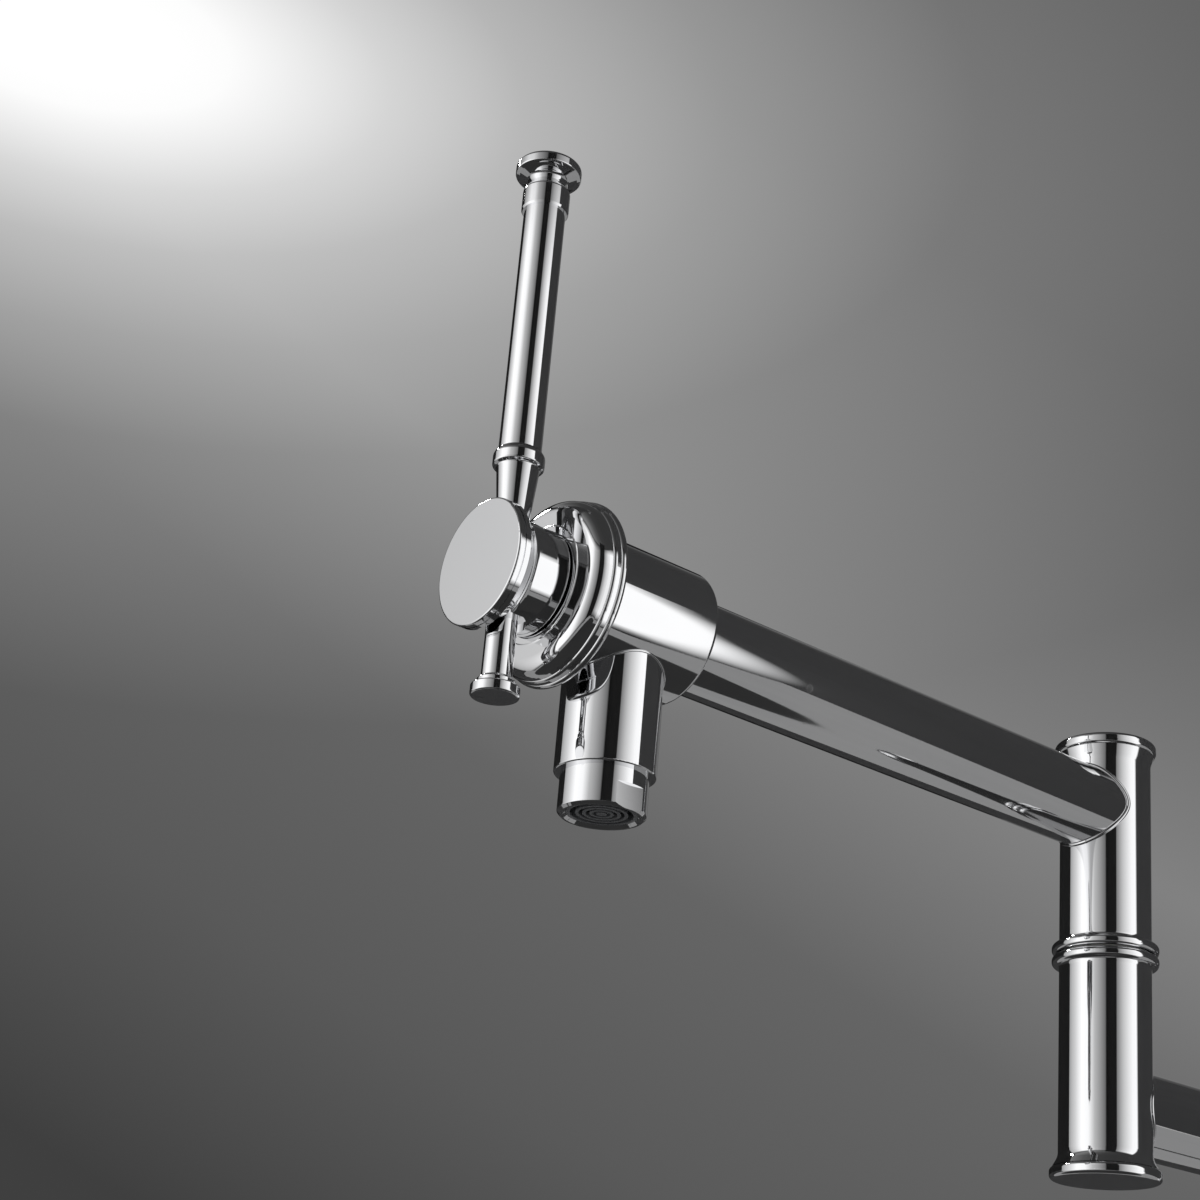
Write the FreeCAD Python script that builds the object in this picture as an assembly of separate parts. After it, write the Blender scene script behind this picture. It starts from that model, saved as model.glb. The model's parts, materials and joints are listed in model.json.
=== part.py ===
import FreeCAD, Part
import math
import os

from FreeCAD import Vector

# A pot filler: a wall tap with two swinging arms that reach over a hob.
# One valve stands at the wall and one at the outlet. Millimetres.
# The origin is the middle of the wall flange's back, +Y goes into the wall, +Z is up.

# Arms and waterways
arm_radius = 12.0
arm_wall = 1.5
inner_arm_reach = 220.0
outer_arm_reach = 186.0
port_radius = 8.0
branch_radius = 6.5

# Post of a knuckle: how far its surface, seam and end stand from the arm
post_step = 1.0
post_wall = 2.7
arm_to_seam = 30.5
arm_to_end = 9.0
ring_overhang = 2.1
ring_height = 3.1
ring_shoulder = 0.9
seam_gap = 0.4
top_cap_overhang = 1.6
bottom_cap_overhang = 2.4
cap_height = 3.4
cap_round = 1.2
cap_lip = 0.7
cap_flare_height = 2.9
cap_flare_round = 5.0
cap_plug_height = 6.0

# Swivel inside a knuckle
land_width = 1.9
spigot_wall = 3.6
spigot_root_step = 0.6
spigot_seat = 22.0
spigot_lift = 30.0
spigot_chamfer = 0.8
lock_nut_height = 4.6
lock_nut_wall = 1.6
slip_washer_height = 1.2
o_ring_wire = 1.05
o_ring_room = 0.25
swivel_o_ring_heights = (7.0, 13.0)

# Valve body, measured along its axis from the crossing with its branch
body_step = 5.2
body_back = 17.4
body_front = 16.0
body_round = 1.2
socket_depth = 6.0
chamber_back = 8.0
wall_valve_distance = 62.0

# Bonnet, the domed ring in front of a valve body
bonnet_overhang = 5.8
bonnet_depth = 8.6
bonnet_bead = 2.0
bonnet_nose_step = 1.7
bonnet_wall = 2.2

# Shape that the bonnet and the wall flange share: two beads, a dome and a lip at the nose
bead_share = 0.45
bead_step = 0.5
dome_share = 0.9
dome_lip = 0.6
nose_edge = 0.2

# Cartridge
cartridge_radius = 10.2
cartridge_thread_step = 1.1
cartridge_thread_length = 6.0
cartridge_flange_step = 1.3
cartridge_flange_height = 1.6
cartridge_hex_height = 3.6
cartridge_neck_step = 1.4
cartridge_neck_length = 2.4
cartridge_wall = 1.9
side_port_width = 8.0
disc_height = 2.6
disc_window_width = 9.0
disc_window_height = 3.6
seal_height = 1.8
seal_lap = 1.2

# Spindle and the screw that holds the handle on it
spindle_radius = 4.9
spindle_reach = 6.4
spindle_land = 9.0
spindle_ring_lift = 4.0
spindle_ring_wire = 0.7
spindle_splines = 20
spline_depth = 0.5
spline_start = 0.5
driver_height = 3.0
driver_key_width = 2.4
driver_key_depth = 1.1
hub_screw_radius = 2.0
hub_screw_grip = 8.0
hub_screw_head_radius = 3.6
hub_screw_head_height = 3.2
hub_screw_socket = 2.5

# Handle hub, along the valve axis like the body
stem_radius = 12.9
hub_length = 17.1
hub_disc_step = 2.6
hub_rim_height = 1.6
hub_flare_height = 3.0
hub_flare_round = 3.6
hub_cap_height = 1.9
hub_cap_plug = 2.6
hub_cap_groove = 0.5
hub_recess_step = 1.9
hub_skirt_gap = 1.0
lever_setback = 8.3

# Lever, measured up from the valve axis
lever_radius = 5.1
lever_root_step = 1.4
lever_root_length = 14.1
lever_collar_step = 1.05
lever_collar_height = 3.8
lever_bar_length = 69.6
ferrule_step = 0.7
ferrule_length = 7.0
neck_step = 0.8
knob_lift = 13.3
knob_step = 3.0
knob_thickness = 2.7
tenon_step = 0.8
tenon_depth = 6.0

# Tail, the short end of the lever below the hub
tail_step = 1.5
tail_length = 17.9
tail_collar_step = 0.85
tail_button_step = 2.1
tail_button_height = 2.8
tail_collar_height = 1.7

# Spout and aerator, measured down from the valve axis
spout_step = 1.6
spout_length = 40.3
spout_bore_step = 0.7
spout_throat = 20.0
aerator_radius = 10.5
aerator_length = 10.0
aerator_flat_depth = 0.75
aerator_flat_height = 6.0
aerator_thread_step = 1.0
aerator_thread_height = 7.0
aerator_wall = 1.0
aerator_bevel = 0.7
aerator_lip = 1.0
aerator_washer_height = 1.8
insert_recess = 0.7
insert_rings = 4
insert_depth = 3.0
insert_wall = 1.0

# Wall flange and inlet
flange_radius = 32.5
flange_depth = 9.0
flange_bead = 2.2
flange_wall = 2.5
gasket_height = 2.0
gasket_width = 5.5
flange_collar_step = 4.6
flange_collar_height = 6.0
grub_screw_radius = 2.0
grub_screw_socket = 2.0
shank_radius = 10.48
shank_wall = 3.48
shank_root_step = 1.08
shank_reach = 28.0
shank_seat = 24.0
neck_start = 0.5

# Fits
slide_gap = 0.05
running_gap = 0.08
thrust_gap = 0.1
thread_gap = 0.05
free_gap = 0.4

# Roundings of small edges
edge = 0.5
fine_edge = 0.3

# Closed, the outlet handle's long end stands upright and the wall handle's hangs down.
outlet_handle_turn = 0.0
wall_handle_turn = 180.0

# Knuckle sizes worked out from those above
post_radius = arm_radius + post_step
post_bore_radius = post_radius - post_wall
post_arm_height = arm_radius + arm_to_seam
post_end_height = post_arm_height + arm_radius + arm_to_end
ring_radius = post_radius + ring_overhang
top_cap_radius = post_radius + top_cap_overhang
bottom_cap_radius = post_radius + bottom_cap_overhang
sleeve_end = post_end_height - cap_height
seam_half = seam_gap / 2
spigot_radius = post_bore_radius - land_width
spigot_bore_radius = spigot_radius - spigot_wall
spigot_root_radius = spigot_radius + spigot_root_step
spigot_hole_radius = spigot_radius + running_gap
spigot_shoulder = -seam_half - slip_washer_height
lock_nut_low = spigot_lift - lock_nut_height
lock_nut_radius = post_bore_radius - edge
spigot_end_radius = spigot_radius - lock_nut_wall
land_top = lock_nut_low - slip_washer_height - thrust_gap
groove_half = o_ring_wire + o_ring_room

# Valve sizes worked out from those above, as distances in front of the crossing
body_radius = arm_radius + body_step
bonnet_radius = body_radius + bonnet_overhang
bonnet_front = body_front + bonnet_depth
bonnet_nose_radius = stem_radius + bonnet_nose_step
chamber_radius = cartridge_radius + cartridge_thread_step
cartridge_flange = chamber_radius + cartridge_flange_step
cartridge_neck_radius = cartridge_radius - cartridge_neck_step
cartridge_front = bonnet_front + cartridge_neck_length
disc_radius = cartridge_radius - cartridge_wall
disc_floor = -chamber_back + seal_height
fixed_disc_top = disc_floor + disc_height
moving_disc_low = fixed_disc_top + thrust_gap
moving_disc_top = moving_disc_low + disc_height
driver_top = moving_disc_top + driver_height
driver_hole_top = driver_top + free_gap
cartridge_land = driver_top + spindle_land
spindle_ring_place = cartridge_land + spindle_ring_lift
spindle_front = bonnet_front + spindle_reach
spindle_tip_radius = spindle_radius - edge
hub_face = bonnet_front + hub_length
hub_front = hub_face - hub_cap_height
hub_back = bonnet_front + free_gap
hub_web = spindle_front + hub_screw_radius / 2
hub_disc_radius = stem_radius + hub_disc_step
hub_recess_radius = stem_radius - hub_recess_step
lever_distance = hub_face - lever_setback

# Lever sizes worked out from those above, as heights over the valve axis
lever_root_radius = lever_radius - lever_root_step
lever_foot = math.sqrt(stem_radius ** 2 - lever_radius ** 2)
lever_collar_low = stem_radius + lever_root_length
lever_collar_top = lever_collar_low + lever_collar_height
lever_collar_radius = lever_radius + lever_collar_step
ferrule_low = lever_collar_low + lever_bar_length
ferrule_top = ferrule_low + ferrule_length
ferrule_radius = lever_radius + ferrule_step
lever_top = ferrule_low + knob_lift
knob_radius = lever_radius + knob_step
tenon_radius = lever_root_radius - tenon_step
tail_radius = lever_radius - tail_step
tail_end = stem_radius + tail_length

# Spout and wall end sizes worked out from those above
spout_radius = aerator_radius + spout_step
aerator_thread_radius = aerator_radius - aerator_thread_step
aerator_bore_radius = aerator_thread_radius - aerator_wall
spout_bore_radius = aerator_bore_radius - spout_bore_step
aerator_low = -spout_length - aerator_length
aerator_thread_top = -spout_length + aerator_thread_height
flange_collar_radius = arm_radius + flange_collar_step
flange_collar_end = flange_depth + flange_collar_height
shank_bore_radius = shank_radius - shank_wall
shank_root_radius = shank_radius - shank_root_step

# Places of the posts, seams and valves
wall_post_y = -wall_valve_distance
mid_post_y = wall_post_y - inner_arm_reach
outlet_y = mid_post_y - outer_arm_reach
wall_seam_z = post_arm_height
inner_arm_z = wall_seam_z + post_arm_height
mid_seam_z = inner_arm_z + post_arm_height
outer_arm_z = mid_seam_z + post_arm_height

FRONT = Vector(0, -1, 0)
UP = Vector(0, 0, 1)


def outline(points):
    """Closed face in the XZ plane through (x, z) or (x, z, corner radius) points."""
    count = len(points)
    places = [Vector(point[0], 0, point[1]) for point in points]
    entries = []
    exits = []
    arcs = []
    for index, point in enumerate(points):
        here = places[index]
        radius = point[2] if len(point) > 2 else 0
        if not radius:
            entries.append(here)
            exits.append(here)
            arcs.append(None)
            continue
        back = (places[index - 1] - here).normalize()
        ahead = (places[(index + 1) % count] - here).normalize()
        half = back.getAngle(ahead) / 2
        reach = radius / math.tan(half)
        inward = (back + ahead).normalize()
        entries.append(here + back * reach)
        exits.append(here + ahead * reach)
        middle = here + inward * (radius / math.sin(half) - radius)
        arcs.append(Part.Arc(entries[-1], middle, exits[-1]).toShape())
    edges = []
    for index in range(count):
        if arcs[index]:
            edges.append(arcs[index])
        start = exits[index]
        end = entries[(index + 1) % count]
        if start.distanceToPoint(end) > 1e-6:
            edges.append(Part.LineSegment(start, end).toShape())
    return Part.Face(Part.Wire(edges))


def turned(points):
    """Solid turned about the Z axis from (radius, height) or (radius, height, corner) points."""
    return outline(points).revolve(Vector(0, 0, 0), UP, 360)


def forward(shape):
    """Lay a shape made along +Z down, so that its height runs to the front."""
    shape.rotate(Vector(0, 0, 0), Vector(1, 0, 0), 90)
    return shape


def rod(radius, low, high):
    """Upright round bar between two heights."""
    return Part.makeCylinder(radius, high - low, Vector(0, 0, low))


def ring(outer, inner, low, high):
    """Upright round ring between two heights."""
    return rod(outer, low, high).cut(rod(inner, low - 1, high + 1))


def slab(width, depth, low, high, x=0.0, y=0.0):
    """Upright block centred on x and y between two heights."""
    return Part.makeBox(width, depth, high - low, Vector(x - width / 2, y - depth / 2, low))


def hexagon(flats, low, high):
    """Upright hexagonal bar between two heights."""
    corner = flats / math.sqrt(3)
    angles = [math.radians(60 * step) for step in range(7)]
    wire = Part.makePolygon([Vector(corner * math.cos(a), corner * math.sin(a), low) for a in angles])
    return Part.Face(wire).extrude(UP * (high - low))


def mirrored(shape):
    """The same shape upside down."""
    return shape.mirror(Vector(0, 0, 0), UP)


def o_rings(outer_radius, wire, heights):
    """Rubber rings that reach out to one radius, at several heights, as separate solids."""
    return Part.makeCompound([
        Part.makeTorus(outer_radius - wire, wire, Vector(0, 0, height)) for height in heights
    ])


# Knuckle: two half posts that meet at a seam and turn on a hollow spigot.
# Everything is built about the seam's centre, with the turning half above it.

def half_post(cap_radius):
    """Outside of the upper half: bead at the seam, post and the flare that meets its cap."""
    bead_top = seam_half + ring_height
    bead_round = ring_height * bead_share
    return turned([
        (0, seam_half),
        (ring_radius, seam_half, bead_round),
        (ring_radius, bead_top, bead_round),
        (post_radius, bead_top),
        (post_radius, sleeve_end - cap_flare_height, cap_flare_round),
        (cap_radius - cap_lip, sleeve_end),
        (0, sleeve_end),
    ]).fuse(seam_cove())


def seam_cove():
    """Hollow fillet that leads from the post out to the bead beside the seam."""
    bead_top = seam_half + ring_height
    shoulder = bead_top - ring_shoulder
    return turned([
        (post_radius - post_wall / 2, shoulder),
        (ring_radius - ring_shoulder, shoulder),
        (post_radius, bead_top, ring_overhang),
        (post_radius, bead_top + ring_overhang),
        (post_radius - post_wall / 2, bead_top + ring_overhang),
    ])


def arm_port(turn):
    """Bore from the middle of the post through its wall, towards +Y when not turned."""
    port = rod(port_radius, 0, post_radius + post_wall)
    port.rotate(Vector(0, 0, 0), Vector(1, 0, 0), -90)
    port.rotate(Vector(0, 0, 0), UP, turn)
    port.translate(UP * post_arm_height)
    return port


def upper_sleeve():
    """Half post that turns: a narrow land on the spigot and a wide chamber above it."""
    hole = rod(spigot_hole_radius, 0, post_end_height)
    chamber = rod(post_bore_radius, land_top, post_end_height)
    return half_post(top_cap_radius).cut([hole, chamber, arm_port(180)]).removeSplitter()


def washer_recess():
    """Recess for the plastic washer and the spigot's threaded seat, below the seam."""
    recess = rod(post_radius - seal_lap, spigot_shoulder, 0)
    seat = rod(spigot_root_radius + thread_gap, -spigot_seat - edge, 0)
    return recess.fuse(seat)


def lower_sleeve():
    """Half post that carries the spigot, below the seam, with a chamber under the spigot."""
    chamber = rod(post_bore_radius, -post_end_height, -spigot_seat)
    hollow = [washer_recess(), chamber, mirrored(arm_port(0))]
    return mirrored(half_post(bottom_cap_radius)).cut(hollow).removeSplitter()


def spigot():
    """Hollow pivot screwed into the lower half, with grooves for its rubber rings."""
    body = turned([
        (spigot_bore_radius, -spigot_seat),
        (spigot_root_radius, -spigot_seat),
        (spigot_root_radius, spigot_shoulder),
        (spigot_radius, spigot_shoulder),
        (spigot_radius, lock_nut_low),
        (spigot_end_radius, lock_nut_low),
        (spigot_end_radius, spigot_lift - spigot_chamfer),
        (spigot_end_radius - spigot_chamfer, spigot_lift),
        (spigot_bore_radius, spigot_lift),
    ])
    floor = spigot_radius - 2 * o_ring_wire
    for height in swivel_o_ring_heights:
        body = body.cut(ring(ring_radius, floor, height - groove_half, height + groove_half))
    return body


def slip_washers():
    """Plastic washers on both sides of the turning half's land."""
    inner = spigot_radius + slide_gap
    seam_washer = ring(post_radius - seal_lap - slide_gap, inner, spigot_shoulder, seam_half - thrust_gap)
    nut_washer = ring(lock_nut_radius, inner, land_top + thrust_gap, lock_nut_low)
    return Part.makeCompound([seam_washer, nut_washer])


def lock_nut():
    """Nut on the spigot's end that keeps the turning half down."""
    nut = hexagon(math.sqrt(3) * lock_nut_radius, lock_nut_low, spigot_lift)
    return nut.cut(rod(spigot_end_radius + thread_gap, lock_nut_low - 1, spigot_lift + 1))


def end_cap(radius):
    """Screwed cap on the upper end of a post, with a rounded rim and a grooved plug below it."""
    plug_radius = post_bore_radius - slide_gap
    floor = sleeve_end - cap_plug_height
    cap = turned([
        (0, floor),
        (plug_radius, floor),
        (plug_radius, sleeve_end),
        (radius, sleeve_end, cap_round),
        (radius, post_end_height, cap_round),
        (0, post_end_height),
    ])
    middle = sleeve_end - cap_plug_height / 2
    inner = plug_radius - 2 * o_ring_wire
    return cap.cut(ring(radius, inner, middle - groove_half, middle + groove_half))


def cap_ring():
    """Rubber ring round a cap's plug."""
    return o_rings(post_bore_radius - slide_gap, o_ring_wire, [sleeve_end - cap_plug_height / 2])


# Valve: built about the crossing of its axis with its branch, front towards -Y.

def beaded_dome(radius, bead, low, high, nose):
    """Turned dome with two beads on its rim, from a flat back at low to a flat nose at high."""
    second = low + bead
    third = second + bead
    shoulder = high - nose_edge
    return turned([
        (0, low),
        (radius, low, bead * bead_share),
        (radius, second, bead * bead_share),
        (radius - bead_step, second),
        (radius - bead_step, third, bead * bead_share),
        (radius - 2 * bead_step, third),
        (radius - 3 * bead_step, shoulder, (shoulder - third) * dome_share),
        (nose, shoulder, dome_lip),
        (nose - nose_edge, high),
        (0, high),
    ])


def bonnet():
    """Domed ring that hides the cartridge's head."""
    shell = beaded_dome(bonnet_radius, bonnet_bead, body_front, bonnet_front, bonnet_nose_radius)
    hollow = rod(cartridge_flange + free_gap, body_front - 1, bonnet_front - bonnet_wall)
    neck_hole = rod(cartridge_neck_radius + slide_gap, body_front - 1, bonnet_front + 1)
    return forward(shell.cut([hollow, neck_hole]))


def body_shell():
    """Barrel of a valve, before anything is bored."""
    return forward(turned([
        (0, -body_back),
        (body_radius, -body_back, body_round),
        (body_radius, body_front),
        (0, body_front),
    ]))


def body_hollow():
    """Space inside the barrel: the tube's socket, the inlet bore and the cartridge's chamber."""
    socket = rod(arm_radius + slide_gap, -body_back - 1, -body_back + socket_depth)
    inlet = rod(port_radius, -body_back, -chamber_back + 1)
    chamber = rod(chamber_radius, -chamber_back, body_front + 1)
    return forward(socket.fuse([inlet, chamber]))


def outlet_valve_body():
    """Barrel with the spout cast below it, and the aerator's thread in the spout's foot."""
    spout = turned([
        (0, -spout_length),
        (spout_radius, -spout_length, bead_share),
        (spout_radius, 0),
        (0, 0),
    ])
    branch = rod(branch_radius, -spout_length, 0)
    throat = rod(spout_bore_radius, -spout_length, -spout_throat)
    thread_end = aerator_thread_top + aerator_washer_height
    thread = rod(aerator_thread_radius + thread_gap, -spout_length - 1, thread_end)
    casting = body_shell().fuse(spout)
    return casting.cut([body_hollow(), branch, throat, thread]).removeSplitter()


def wall_valve_body():
    """Barrel with the fixed half of the wall knuckle cast above it."""
    post = mirrored(half_post(bottom_cap_radius))
    post.translate(UP * wall_seam_z)
    post = post.common(rod(ring_radius + 1, 0, wall_seam_z))
    seat = washer_recess()
    seat.translate(UP * wall_seam_z)
    branch = rod(branch_radius, 0, wall_seam_z)
    casting = body_shell().fuse(post)
    return casting.cut([body_hollow(), branch, seat]).removeSplitter()


def cartridge_housing():
    """Brass shell of the cartridge: sleeve with side ports, thread, hexagon and neck."""
    thread_radius = chamber_radius - thread_gap
    thread_low = body_front - cartridge_thread_length
    flange_top = body_front + cartridge_flange_height
    sleeve = turned([
        (0, disc_floor),
        (cartridge_radius, disc_floor),
        (cartridge_radius, thread_low - cartridge_thread_step),
        (thread_radius, thread_low),
        (thread_radius, body_front),
        (cartridge_flange, body_front),
        (cartridge_flange, flange_top),
        (cartridge_neck_radius, flange_top),
        (cartridge_neck_radius, cartridge_front),
        (0, cartridge_front),
    ])
    flats = math.sqrt(3) * (cartridge_flange - edge)
    shell = sleeve.fuse(hexagon(flats, flange_top, flange_top + cartridge_hex_height))
    hollows = [
        rod(disc_radius + free_gap, disc_floor - 1, driver_hole_top),
        rod(spindle_radius + seal_lap, disc_floor, cartridge_land),
        rod(spindle_radius + slide_gap, disc_floor, cartridge_front + 1),
        slab(side_port_width, 3 * cartridge_radius, moving_disc_low, driver_hole_top),
    ]
    return forward(shell.cut(hollows).removeSplitter())


def disc_windows(low, high):
    """Two opposite windows of a ceramic disc, as cutting shapes."""
    offset = disc_radius / 2
    return [
        slab(disc_window_width, disc_window_height, low - 1, high + 1, y=side * offset)
        for side in (-1, 1)
    ]


def fixed_disc():
    """Ceramic disc that stays still on the seal."""
    disc = rod(disc_radius, disc_floor, fixed_disc_top)
    return forward(disc.cut(disc_windows(disc_floor, fixed_disc_top)))


def moving_disc():
    """Ceramic disc that the spindle turns. Closed, its windows stand across the fixed ones."""
    disc = rod(disc_radius, moving_disc_low, moving_disc_top)
    slot_floor = moving_disc_top - driver_key_depth - thrust_gap
    slot = slab(driver_key_width + 2 * slide_gap, 3 * disc_radius, slot_floor, moving_disc_top + 1)
    disc = disc.cut(disc_windows(moving_disc_low, moving_disc_top) + [slot])
    disc.rotate(Vector(0, 0, 0), UP, 90)
    return forward(disc)


def cartridge_seal():
    """Rubber ring between the fixed disc and the floor of the chamber."""
    return forward(ring(disc_radius + seal_lap, port_radius - seal_lap, -chamber_back, disc_floor))


def spindle():
    """Turning stem: driver plate with its key, groove for the ring and a splined end."""
    spline_low = cartridge_front + spline_start
    stem = turned([
        (0, moving_disc_top),
        (disc_radius, moving_disc_top),
        (disc_radius, driver_top),
        (spindle_radius, driver_top),
        (spindle_radius, spline_low),
        (spindle_tip_radius, spline_low + edge),
        (spindle_tip_radius, spindle_front),
        (0, spindle_front),
    ])
    key = slab(driver_key_width, 2 * disc_radius - 1, moving_disc_top - driver_key_depth, driver_top)
    key.rotate(Vector(0, 0, 0), UP, 90)
    floor = spindle_radius - 2 * spindle_ring_wire
    groove_low = spindle_ring_place - spindle_ring_wire - o_ring_room
    groove_high = spindle_ring_place + spindle_ring_wire + o_ring_room
    groove = ring(disc_radius, floor, groove_low, groove_high)
    thread = rod(hub_screw_radius + thread_gap, spindle_front - hub_screw_grip, spindle_front + 1)
    notch_radius = spindle_tip_radius + spline_depth / 3
    notch_length = spindle_front - spline_low
    notches = []
    for step in range(spindle_splines):
        notch = Part.makeCylinder(spline_depth, notch_length, Vector(notch_radius, 0, spline_low + edge))
        notch.rotate(Vector(0, 0, 0), UP, 360 * step / spindle_splines)
        notches.append(notch)
    return forward(stem.fuse(key).cut([groove, thread] + notches))


def spindle_ring():
    """Rubber ring in the spindle's groove."""
    return forward(o_rings(spindle_radius, spindle_ring_wire, [spindle_ring_place]))


# Handle: hub, cap, screw and the three pieces of the lever.

def handle_hub():
    """Hub with a hollow skirt, a splined seat, and a flare that ends in the disc's rim."""
    rim_low = hub_front - hub_rim_height
    hub = turned([
        (0, hub_back),
        (stem_radius, hub_back, edge),
        (stem_radius, rim_low - hub_flare_height, hub_flare_round),
        (hub_disc_radius - fine_edge, rim_low, nose_edge),
        (hub_disc_radius, rim_low + fine_edge),
        (hub_disc_radius, hub_front),
        (0, hub_front),
    ])
    hollows = [
        rod(cartridge_neck_radius + hub_skirt_gap, hub_back - 1, cartridge_front + hub_skirt_gap),
        rod(spindle_tip_radius + slide_gap, hub_back, spindle_front + slide_gap),
        rod(hub_screw_radius + nose_edge, spindle_front, hub_front),
        rod(hub_screw_head_radius + fine_edge, hub_web, hub_front),
        rod(hub_recess_radius, hub_front - hub_cap_plug, hub_front + 1),
    ]
    seat = lever_seat()
    return forward(hub.cut(hollows)).cut([seat, mirrored(seat)])


def lever_seat():
    """Spot face and threaded hole of the lever in the top of the hub."""
    face = rod(lever_radius + free_gap, lever_foot, hub_disc_radius)
    hole = rod(tenon_radius + thread_gap, lever_foot - tenon_depth - fine_edge, stem_radius)
    return at_lever(face.fuse(hole))


def hub_cap():
    """Flat disc on the front of the hub, held by its plug, with a fine groove round its foot."""
    plug_low = hub_front - hub_cap_plug + nose_edge
    plug_radius = hub_recess_radius - slide_gap
    return forward(turned([
        (0, plug_low),
        (plug_radius, plug_low),
        (plug_radius, hub_front),
        (hub_disc_radius - hub_cap_groove, hub_front),
        (hub_disc_radius - hub_cap_groove, hub_front + fine_edge),
        (hub_disc_radius, hub_front + fine_edge),
        (hub_disc_radius, hub_face, edge),
        (0, hub_face),
    ]))


def hub_screw():
    """Screw that holds the hub on the spindle, with a hexagon socket."""
    low = spindle_front - hub_screw_grip + 1
    top = hub_web + hub_screw_head_height
    head = rod(hub_screw_head_radius, hub_web, top)
    socket = hexagon(hub_screw_socket, top - hub_screw_radius, top + 1)
    return forward(rod(hub_screw_radius, low, hub_web).fuse(head).cut(socket))


def at_lever(shape):
    """Move an upright piece of the lever to its place on the valve axis."""
    shape.translate(FRONT * lever_distance)
    return shape


def lever_rod():
    """Long bar: threaded tenon, widening root, rounded collar and plain bar up to the ferrule."""
    return at_lever(turned([
        (0, lever_foot - tenon_depth),
        (tenon_radius, lever_foot - tenon_depth),
        (tenon_radius, lever_foot),
        (lever_root_radius, lever_foot),
        (lever_radius, lever_collar_low - edge, edge),
        (lever_collar_radius, lever_collar_low, edge),
        (lever_collar_radius, lever_collar_top - fine_edge, lever_collar_height * bead_share),
        (lever_radius, lever_collar_top, fine_edge),
        (lever_radius, ferrule_low),
        (tenon_radius, ferrule_low),
        (tenon_radius, ferrule_low + tenon_depth),
        (0, ferrule_low + tenon_depth),
    ]))


def lever_knob():
    """End of the lever: ferrule, neck and the small flat disc on a flare."""
    hole_radius = tenon_radius + thread_gap
    hole_top = ferrule_low + tenon_depth + fine_edge
    neck_radius = lever_radius - neck_step
    disc_low = lever_top - knob_thickness
    return at_lever(turned([
        (0, hole_top),
        (hole_radius, hole_top),
        (hole_radius, ferrule_low),
        (ferrule_radius - fine_edge, ferrule_low),
        (ferrule_radius, ferrule_low + edge),
        (ferrule_radius, ferrule_top, ferrule_step + neck_step),
        (neck_radius, ferrule_top, fine_edge),
        (neck_radius, disc_low - knob_step / 2, knob_step / 2),
        (knob_radius - knob_step / 3, disc_low - fine_edge, nose_edge),
        (knob_radius, disc_low, fine_edge),
        (knob_radius, lever_top, knob_thickness / 3),
        (0, lever_top),
    ]))


def lever_tail():
    """Short bar below the hub with a collar and a flat button."""
    button_low = tail_end - tail_button_height
    collar_low = button_low - tail_collar_height
    collar_radius = tail_radius + tail_collar_step
    button_radius = tail_radius + tail_button_step
    tail = turned([
        (0, lever_foot - tenon_depth),
        (tenon_radius, lever_foot - tenon_depth),
        (tenon_radius, lever_foot),
        (tail_radius, lever_foot),
        (tail_radius, collar_low, fine_edge),
        (collar_radius, collar_low + edge, edge),
        (collar_radius, button_low, nose_edge),
        (button_radius, button_low + nose_edge, edge),
        (button_radius, tail_end, edge),
        (0, tail_end),
    ])
    return at_lever(mirrored(tail))


# Aerator in the foot of the spout.

def aerator_housing():
    """Screw-in housing with two wrench flats and a bevelled mouth."""
    shelf = -spout_length + 2 * fine_edge + aerator_wall
    lip_radius = aerator_bore_radius - aerator_lip
    housing = turned([
        (lip_radius, aerator_thread_top),
        (aerator_thread_radius, aerator_thread_top),
        (aerator_thread_radius, -spout_length),
        (aerator_radius, -spout_length),
        (aerator_radius, aerator_low + aerator_bevel, fine_edge),
        (aerator_radius - aerator_bevel, aerator_low),
        (aerator_bore_radius + aerator_bevel, aerator_low),
        (aerator_bore_radius, aerator_low + aerator_bevel),
        (aerator_bore_radius, shelf),
        (lip_radius, shelf),
    ])
    offset = 1.5 * aerator_radius - aerator_flat_depth
    flat_top = aerator_low + aerator_flat_height
    flats = [
        slab(aerator_radius, 3 * aerator_radius, aerator_low - 1, flat_top, x=side * offset)
        for side in (-1, 1)
    ]
    return housing.cut(flats)


def aerator_insert():
    """Plastic jet plate: round walls on a cross of ribs, a little inside the mouth."""
    low = aerator_low + insert_recess
    top = -spout_length + 2 * fine_edge + aerator_wall
    radius = aerator_bore_radius - slide_gap
    walls = [ring(radius, radius - insert_wall, low, top)]
    pitch = (radius - insert_wall) / (insert_rings + 0.5)
    for step in range(1, insert_rings):
        outer = pitch * (step + 0.75)
        walls.append(ring(outer, outer - pitch / 2, low, low + insert_depth))
    walls.append(rod(pitch * 0.75, low, low + insert_depth))
    length = 2 * radius - insert_wall
    rib_low = low + insert_recess
    walls.append(slab(length, insert_wall, rib_low, low + insert_depth))
    walls.append(slab(insert_wall, length, rib_low, low + insert_depth))
    return walls[0].fuse(walls[1:]).removeSplitter()


def aerator_washer():
    """Rubber washer between the aerator and the shoulder in the spout."""
    inner = aerator_bore_radius - aerator_lip
    top = aerator_thread_top + aerator_washer_height
    return ring(aerator_thread_radius, inner, aerator_thread_top, top)


# Wall end: flange, gasket, inlet neck and threaded shank. Distances run from the wall to the front.

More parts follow.
